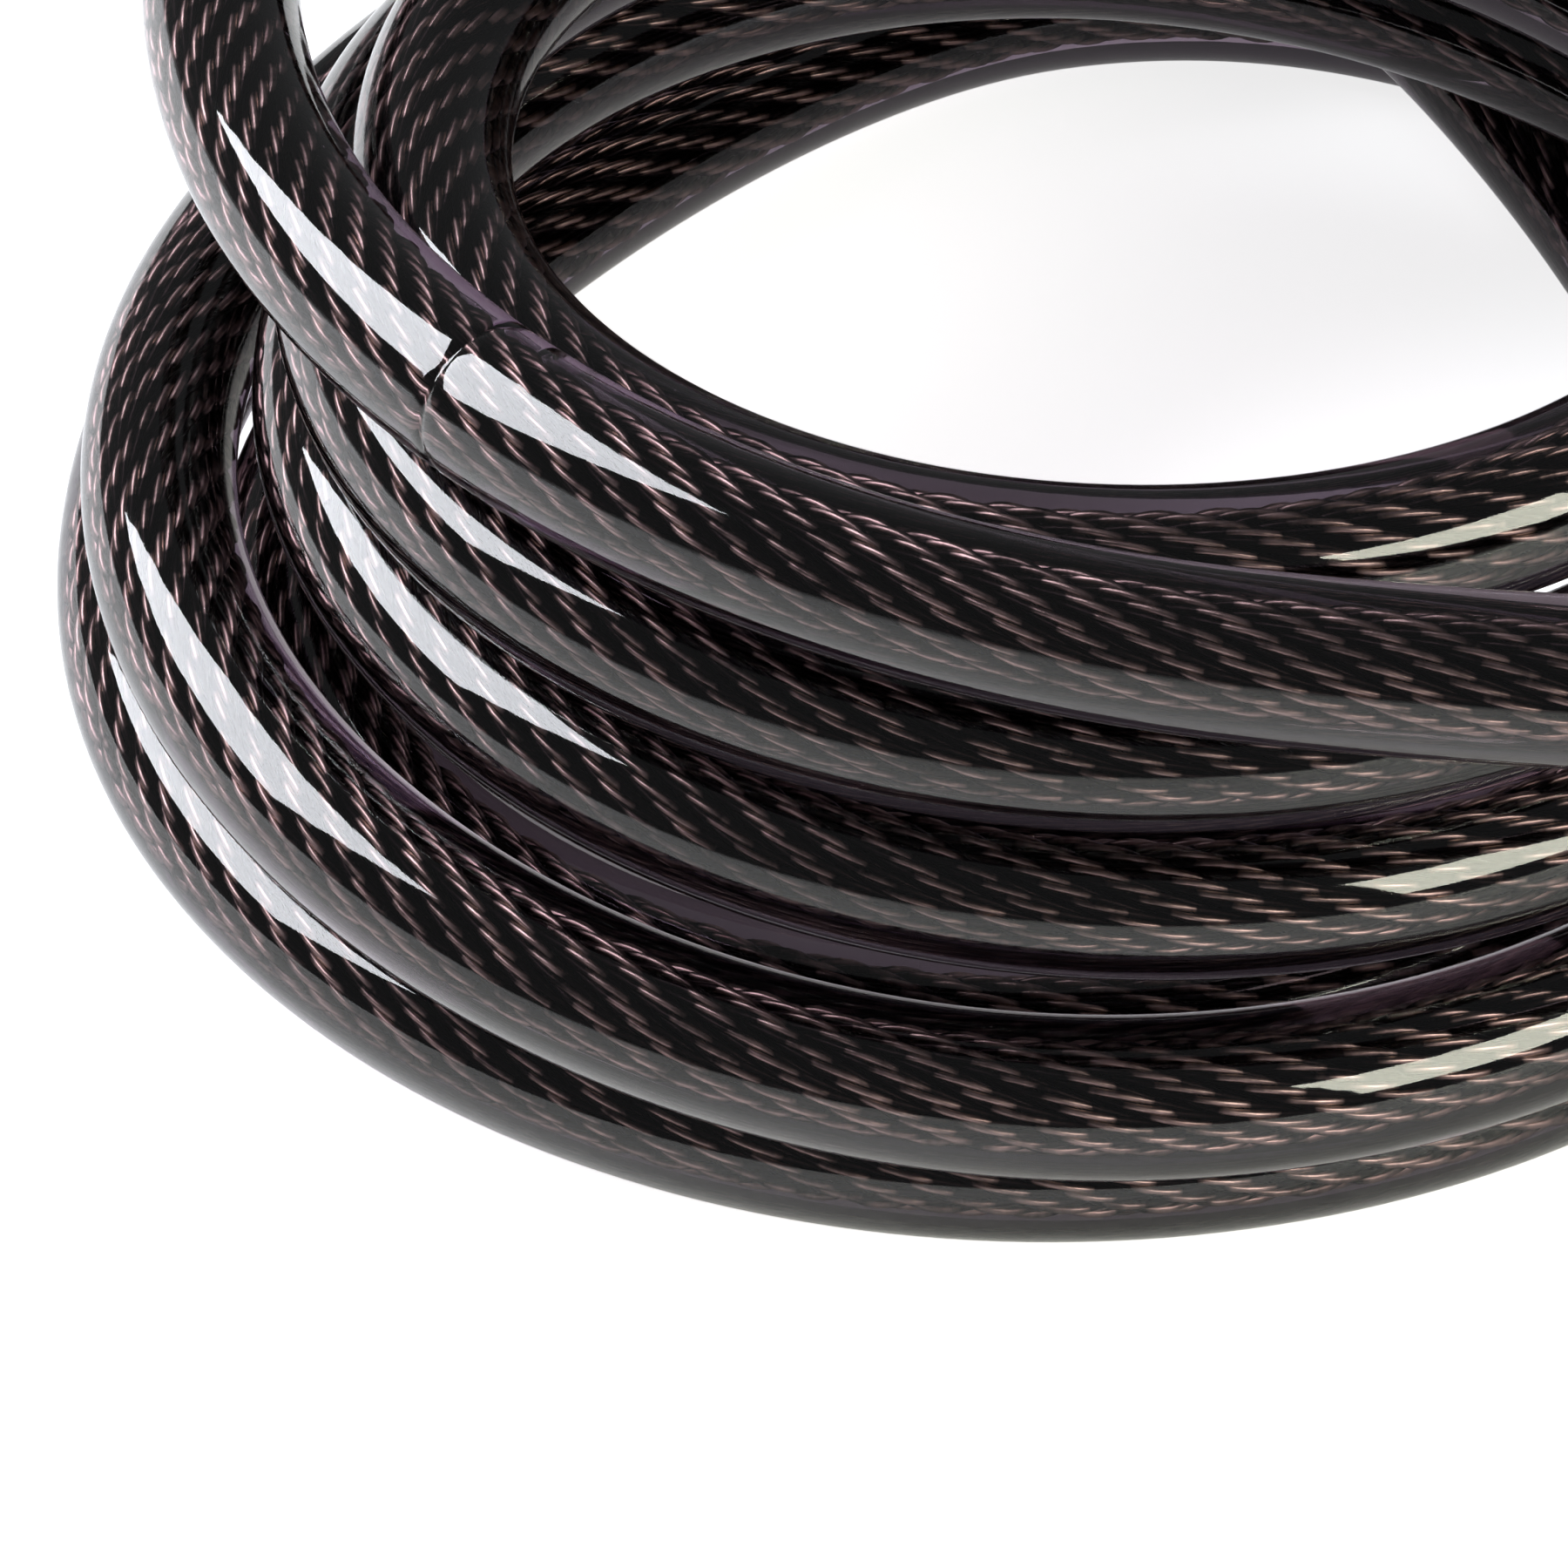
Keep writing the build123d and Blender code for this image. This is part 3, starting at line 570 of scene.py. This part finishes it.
def ribbed_boot(name, outline):
    """A boot turned round the head's axis from its outline."""
    here_x, here_radius = outline[0]
    bpy.ops.object.select_all(action="DESELECT")
    bpy.ops.mesh.primitive_circle_add(vertices=BOOT_SIDES, radius=here_radius * MM,
                                      location=(here_x * MM, 0, AXIS_HEIGHT),
                                      rotation=(0, math.radians(90), 0))
    piece = bpy.context.object
    piece.name = name
    bpy.ops.object.transform_apply(location=True, rotation=True, scale=True)
    bpy.ops.object.mode_set(mode="EDIT")
    bpy.ops.mesh.select_all(action="SELECT")
    for x, radius in outline[1:]:
        bpy.ops.mesh.extrude_edges_move(TRANSFORM_OT_translate={"value": ((x - here_x) * MM, 0, 0)})
        grown = radius / here_radius
        bpy.ops.transform.resize(value=(1, grown, grown), center_override=(x * MM, 0, AXIS_HEIGHT))
        here_x, here_radius = x, radius
    bpy.ops.mesh.select_mode(type="EDGE")
    bpy.ops.mesh.select_all(action="DESELECT")
    bpy.ops.mesh.select_non_manifold()
    bpy.ops.mesh.bridge_edge_loops()
    bpy.ops.mesh.select_all(action="SELECT")
    bpy.ops.mesh.normals_make_consistent(inside=False)
    bpy.ops.object.mode_set(mode="OBJECT")
    bpy.ops.object.shade_smooth_by_angle(angle=math.radians(42))
    piece.data.materials.append(soft_pvc)
    return piece


anchor_boot_shape = ribbed_boot("ribbed_anchor_boot", boot_outline(-33.25, -57.25, -34.25))
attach(anchor_boot_shape, "head")
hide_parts("anchor_boot")
plug_boot_shape = ribbed_boot("ribbed_plug_boot", boot_outline(36.55, 64.55, 48.55))
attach(plug_boot_shape, "plug")
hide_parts("plug_boot")
for boot in (anchor_boot_shape, plug_boot_shape):
    print(boot.name, len(boot.data.vertices), "vertices,", len(boot.data.polygons), "faces")

# %% [markdown]
# ## The digits
# Each wheel carries 0 to 9 between its finger grooves. A digit starts as flat text, is turned into a mesh,
# cut into strips so that it can bend, wrapped round the wheel and thickened by a film of paint.

# %% A flat digit
WHEEL_RADIUS = 11.8 * MM
WHEEL_PLACES = [-8.9 * MM, -0.9 * MM, 7.1 * MM, 15.1 * MM]
DIGIT_SIZE = 5.6 * MM
PAINT = 0.05 * MM
PAINT_LIFT = 0.01 * MM      # keeps the paint's underside off the wheel's skin
STRIP = 0.5 * MM
STRIPS_EACH_WAY = 4


def flat_digit(number):
    """A digit's flat mesh, its middle at the origin, cut across into strips."""
    bpy.ops.object.select_all(action="DESELECT")
    bpy.ops.object.text_add(location=(0, 0, 0))
    text = bpy.context.object
    text.data.body = str(number)
    text.data.size = DIGIT_SIZE
    text.data.align_x, text.data.align_y = "CENTER", "CENTER"
    text.data.resolution_u = 4
    bpy.ops.object.convert(target="MESH")
    digit = bpy.context.object
    places = np.array([v.co for v in digit.data.vertices])
    middle = (places.min(0) + places.max(0)) / 2
    for vertex in digit.data.vertices:
        vertex.co -= Vector(middle)
    bpy.ops.object.mode_set(mode="EDIT")
    for strip in range(-STRIPS_EACH_WAY, STRIPS_EACH_WAY + 1):
        bpy.ops.mesh.select_all(action="SELECT")
        bpy.ops.mesh.bisect(plane_co=(0, strip * STRIP, 0), plane_no=(0, 1, 0))
    bpy.ops.object.mode_set(mode="OBJECT")
    return digit


print("digit size", DIGIT_SIZE)

# %% The digits on their wheels
# 0 stands at the front, where the code is read, and the rest follow upwards, a tenth of a turn apart.
for wheel, wheel_x in zip(wheels, WHEEL_PLACES):
    digits = []
    for number in range(10):
        digit = flat_digit(number)
        front = math.radians(180 - 36 * number)
        for vertex in digit.data.vertices:
            angle = front - vertex.co.y / WHEEL_RADIUS
            radius = WHEEL_RADIUS + PAINT_LIFT
            vertex.co = (wheel_x + vertex.co.x, radius * math.cos(angle),
                         AXIS_HEIGHT + radius * math.sin(angle))
        thick = digit.modifiers.new("paint", "SOLIDIFY")
        thick.thickness = PAINT
        thick.offset = 1
        bpy.ops.object.modifier_apply(modifier="paint")
        digits.append(digit)
    bpy.ops.object.select_all(action="DESELECT")
    for digit in digits:
        digit.select_set(True)
    bpy.context.view_layer.objects.active = digits[0]
    bpy.ops.object.join()
    piece = bpy.context.view_layer.objects.active
    piece.name = f"wheel_{wheel}_digits"
    piece.data.materials.clear()
    piece.data.materials.append(digit_paint)
    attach(piece, f"wheel_{wheel}")

# %% [markdown]
# ## The index marks
# A painted bar on each housing shows which row of digits is read. It is a thin block, sunk halfway into the
# housing, with its edges rounded as paint's are. A decal would need a map; a block needs nothing.

# %% The index marks
for name, start, stop in (("anchor_index", -17.6, -14.8), ("entry_index", 21.7, 24.5)):
    bpy.ops.object.select_all(action="DESELECT")
    bpy.ops.mesh.primitive_cube_add(size=1, location=((start + stop) / 2 * MM, -14.0 * MM, AXIS_HEIGHT))
    mark = bpy.context.object
    mark.name = f"{name}_mark"
    mark.scale = ((stop - start) * MM, 0.08 * MM, 0.7 * MM)
    bpy.ops.object.transform_apply(location=True, rotation=True, scale=True)
    round_off = mark.modifiers.new("rounded", "BEVEL")
    round_off.width = 0.03 * MM
    round_off.segments = 2
    bpy.ops.object.modifier_apply(modifier="rounded")
    mark.data.materials.append(digit_paint)
    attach(mark, "head")
    print(mark.name, len(mark.data.vertices), "vertices")

# %% [markdown]
# ## The floor and the light
# The lock lies on a white board under two soft lamps, in a dim room, so that the glossy sheath has
# something dark to mirror and its highlights stand out. A bright sky would lay a grey veil over it.

# %% The floor
# The board glows, as a light table does, so it is white round the object and keeps only a faint shadow.
# The cable's lower sides mirror it as a grey band, and it gives them less light than the camera.
bpy.ops.object.select_all(action="DESELECT")
bpy.ops.mesh.primitive_plane_add(size=6, location=(0, 0, 0))
floor = bpy.context.object
floor.name = "floor"
white_board = new_material("white_board")
rays = add_node(white_board, "ShaderNodeLightPath")
glow = add_node(white_board, "ShaderNodeMapRange", {"To Min": 0.26, "To Max": 0.8},
                Value=rays.outputs["Is Camera Ray"])
board = add_node(white_board, "ShaderNodeBsdfPrincipled", {
    "Base Color": (0.85, 0.85, 0.85, 1), "Roughness": 0.6, "Emission Color": (1, 1, 1, 1),
}, Emission_Strength=glow.outputs[0])
add_node(white_board, "ShaderNodeOutputMaterial", Surface=board.outputs[0])
floor.data.materials.append(white_board)
print("floor", floor.name)

# %% The room
# Behind everything the room is as bright as the board; to whatever it lights or is mirrored in, it is dim.
world = bpy.data.worlds.new("studio")
bpy.context.scene.world = world
world.use_nodes = True
backdrop = world.node_tree.nodes["Background"]
rays = world.node_tree.nodes.new("ShaderNodeLightPath")
strength = world.node_tree.nodes.new("ShaderNodeMapRange")
strength.inputs["To Min"].default_value = 0.16
strength.inputs["To Max"].default_value = 1.1
world.node_tree.links.new(rays.outputs["Is Camera Ray"], strength.inputs["Value"])
world.node_tree.links.new(strength.outputs[0], backdrop.inputs["Strength"])
backdrop.inputs["Color"].default_value = (0.96, 0.97, 1.0, 1)
bpy.context.scene.view_settings.view_transform = "Standard"
print("room", world.name)

# %% The soft lamps
RING_MIDDLE = RING + Vector((0, 0, 0.03))
LAMP_DISTANCE = 0.9


def softbox(name, azimuth, elevation, width, height, power, colour):
    """A soft lamp that faces the ring. Azimuth is from +Y towards +X."""
    a, e = math.radians(azimuth), math.radians(elevation)
    away = Vector((math.sin(a) * math.cos(e), math.cos(a) * math.cos(e), math.sin(e)))
    lamp = bpy.data.lights.new(name, "AREA")
    lamp.shape = "RECTANGLE"
    lamp.size, lamp.size_y = width, height
    lamp.energy = power
    lamp.color = colour[:3]
    box = bpy.data.objects.new(name, lamp)
    bpy.context.scene.collection.objects.link(box)
    box.location = RING_MIDDLE + away * LAMP_DISTANCE
    box.rotation_euler = away.to_track_quat("Z", "Y").to_euler()
    print(name, [round(v, 2) for v in box.location])


softbox("left_softbox", -70, 38, 0.64, 0.5, 16, screen_colour("#F2F4FA"))
softbox("right_softbox", 135, 26, 0.5, 0.4, 9, screen_colour("#F4F4E2"))
